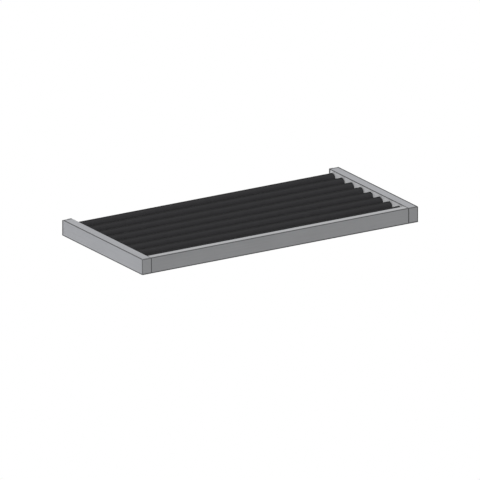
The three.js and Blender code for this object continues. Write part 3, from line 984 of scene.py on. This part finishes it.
def dip(balls, flange):
    """The groove that a ball row runs in, pressed into a flange from the ball's side."""
    return [
        (balls[0] - dip_half, flange, crease),
        (balls[0], balls[1] - dip_depth, dip_reach - 2 * crease),
        (balls[0] + dip_half, flange, crease),
    ]


def race(balls):
    """The curl that holds a ball row from outside, at the end of a flange."""
    return [
        (balls[0] + race_radius, balls[1] + race_radius, race_radius),
        (balls[0] + race_radius, balls[1], 0),
    ]


members = {
    "cabinet_member": [(fixed_web, fixed_flange, web_bend)] + race(outer_balls),
    "intermediate_member": (
        [(middle_web, middle_flange, web_bend)] + dip(outer_balls, middle_flange)
        + race(inner_balls)
    ),
    "inner_member": (
        [(moving_web, moving_flange, web_bend)] + dip(inner_balls, moving_flange)[::-1]
        + [(moving_flange_end, moving_flange, 0)]
    ),
}
slide_bodies = {
    "cabinet_member": "wall_plates", "intermediate_member": "{}_intermediate",
    "inner_member": "rack",
}
travel = fixed_high[1] - fixed_low[1]

# Against the member on either side of it, a cage moves a quarter of the travel and ends at a tab
cage_low, cage_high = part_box("right_outer_ball_cage")
front_tab = cage_low[1] - travel / 4 - tab_gap - slide_strip
rear_tab = cage_high[1] + travel / 4 + tab_gap


def tab(blank, near, far, bottom, top, y_start):
    """A tab lanced out of the strip, which stops a cage when the slide is fully out."""
    corner = min(tab_round, (top - bottom) / 3)
    upset = bmesh.new()
    oblong(
        upset, (plate_inner - far, plate_inner - near),
        (middle_height + bottom, middle_height + top), corner,
        lambda across, up: (across, y_start, up),
    )
    draw_out(upset, (0, slide_strip, 0))
    ease(upset, 1, y_start, strip_ease, steps=2)
    ease(upset, 1, y_start + slide_strip, strip_ease, steps=2)
    carve(blank, upset, "UNION")


for member, centre_line in members.items():
    low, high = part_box(f"right_{member}")
    blank = strip(centre_line, slide_strip, low[1], high[1])
    ease(blank, 1, low[1], strip_ease, steps=2)
    ease(blank, 1, high[1], strip_ease, steps=2)
    if member == "cabinet_member":
        holes = mount_holes()
        pin(
            holes, plate_inner - slide_strip - cut_past, plate_inner + cut_past, peg_hole,
            (high[1] - stop_thickness / 2, middle_height),
        )
        carve(blank, holes)
        tab(blank, 0, outer_cage_web + cage_strip / 2, -tab_half, tab_half, front_tab)
    if member == "intermediate_member":
        holes = bmesh.new()
        web = plate_inner - middle_web
        # The driver holes lie over the wall screws when the rack is fully out
        for y in [place_on_wall + travel / 2 for place_on_wall in mount_places]:
            if y < high[1]:
                pin(holes, web - driver_cut, web + driver_cut, driver_hole, (y, middle_height))
        carve(blank, holes)
        cage_side, rack_side = middle_web - slide_strip / 2, middle_web + slide_strip / 2
        tab(blank, outer_cage_web - cage_strip / 2, rack_side, -tab_half, tab_half, rear_tab)
        tab(blank, cage_side, inner_cage_web + cage_strip / 2, -tab_half, tab_half, front_tab)
    if member == "inner_member":
        rivets = bmesh.new()
        back = channel_floor + slide_strip
        shank = rivet_hole - rivet_fit
        for y in rivet_places:
            turn(rivets, [
                (chamber[1] - rivet_rise, 0, 0), (chamber[1] - rivet_rise, rivet_head, rivet_rise),
                (chamber[1], rivet_head, 0), (chamber[1], shank, 0),
                (back - sunk, shank, 0), (back - sunk, rivet_head, 0),
                (back + rivet_rise, rivet_head, rivet_rise - sunk), (back + rivet_rise, 0, 0),
            ], (y, middle_height))
        carve(blank, rivets, "UNION")
        for flange in (-moving_flange, moving_flange):
            tab(
                blank, inner_cage_web - cage_strip / 2, moving_flange_end + slide_strip,
                flange - slide_strip / 2 + sunk, flange + slide_strip / 2 - sunk, rear_tab,
            )
    for hand in ("left", "right"):
        place(
            f"{hand}_{member}_formed", blank.copy(), [zinced], slide_bodies[member].format(hand),
            f"{hand}_{member}",
        )
    blank.free()


# Ball cages
# Between two members a pressed cage keeps each pair of ball rows apart. The balls are hardened
# and polished, and sit in notches in the edges of the cage. The cage is dull steel, with a thin
# film of grease in cloudy patches.
balls_in_row = 13
ball_pitch = 0.006
ball_subdivisions = 3
notch_gap = 0.0001
notch_sides = 24
cage_bend = 0.0004

polished = pebbled_finish(
    "polished_balls", scale=700.0, dark=(0.60, 0.61, 0.62, 1), light=(0.70, 0.71, 0.72, 1),
    roughness=(0.06, 0.13), metallic=1.0,
)
pressed = pebbled_finish(
    "pressed_cage", scale=220.0, dark=(0.40, 0.40, 0.39, 1), light=(0.56, 0.55, 0.53, 1),
    roughness=(0.3, 0.5), metallic=1.0,
)
for kind, web, balls in (
    ("outer", outer_cage_web, outer_balls), ("inner", inner_cage_web, inner_balls),
):
    low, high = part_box(f"right_{kind}_ball_cage")
    arm_end = balls[0] + ball_radius - ball_clearance
    cage = strip(
        [(web, balls[1], cage_bend), (arm_end, balls[1], 0)], cage_strip, low[1], high[1],
    )
    middle = (low[1] + high[1]) / 2
    seats = [
        (plate_inner - balls[0], middle + (i - (balls_in_row - 1) / 2) * ball_pitch,
         middle_height + side * balls[1])
        for side in (-1, 1) for i in range(balls_in_row)
    ]
    notches = bmesh.new()
    loose = bmesh.new()
    for seat in seats:
        notch = bmesh.ops.create_cone(
            notches, cap_ends=True, segments=notch_sides, radius1=ball_radius + notch_gap,
            radius2=ball_radius + notch_gap, depth=cage_strip * 2,
        )
        bmesh.ops.translate(notches, verts=notch["verts"], vec=seat)
        ball = bmesh.ops.create_icosphere(
            loose, subdivisions=ball_subdivisions, radius=ball_radius,
        )
        bmesh.ops.translate(loose, verts=ball["verts"], vec=seat)
    carve(cage, notches)
    for face in cage.faces:
        face.material_index = 0
    for face in loose.faces:
        face.material_index = 1
    add(cage, loose)
    for hand in ("left", "right"):
        place(
            f"{hand}_{kind}_cage_and_balls", cage.copy(), [pressed, polished],
            f"{hand}_{kind}_cage", f"{hand}_{kind}_ball_cage",
        )
    cage.free()


# Rubber stops
# A soft black block behind the moving members stops the rack quietly. Its peg is pushed through
# a hole in the fixed member.
stop_width, stop_height = 0.009, 0.020
stop_round, stop_ease = 0.002, 0.0006
peg_radius, peg_root = 0.0015, 0.002

soft_rubber = pebbled_finish(
    "soft_rubber", scale=1900.0, dark=(0.012, 0.012, 0.012, 1), light=(0.030, 0.029, 0.028, 1),
    roughness=(0.6, 0.85), metallic=0.0, relief=(0.2, 0.00006),
)
strip_face = plate_inner - slide_strip
low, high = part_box("right_rear_bumper")
stop = bmesh.new()
oblong(
    stop, (strip_face - stop_width, strip_face),
    (middle_height - stop_height / 2, middle_height + stop_height / 2), stop_round,
    lambda across, up: (across, low[1], up),
)
draw_out(stop, (0, high[1] - low[1], 0))
ease(stop, 1, low[1], stop_ease, steps=4)
ease(stop, 1, high[1], stop_ease, steps=4)
peg = bmesh.new()
pin(
    peg, strip_face - peg_root, plate_inner, peg_radius,
    ((low[1] + high[1]) / 2, middle_height), steps=24,
)
carve(stop, peg, "UNION")
for hand in ("left", "right"):
    place(
        f"{hand}_rubber_stop", stop.copy(), [soft_rubber], "wall_plates",
        f"{hand}_rear_bumper",
    )
stop.free()
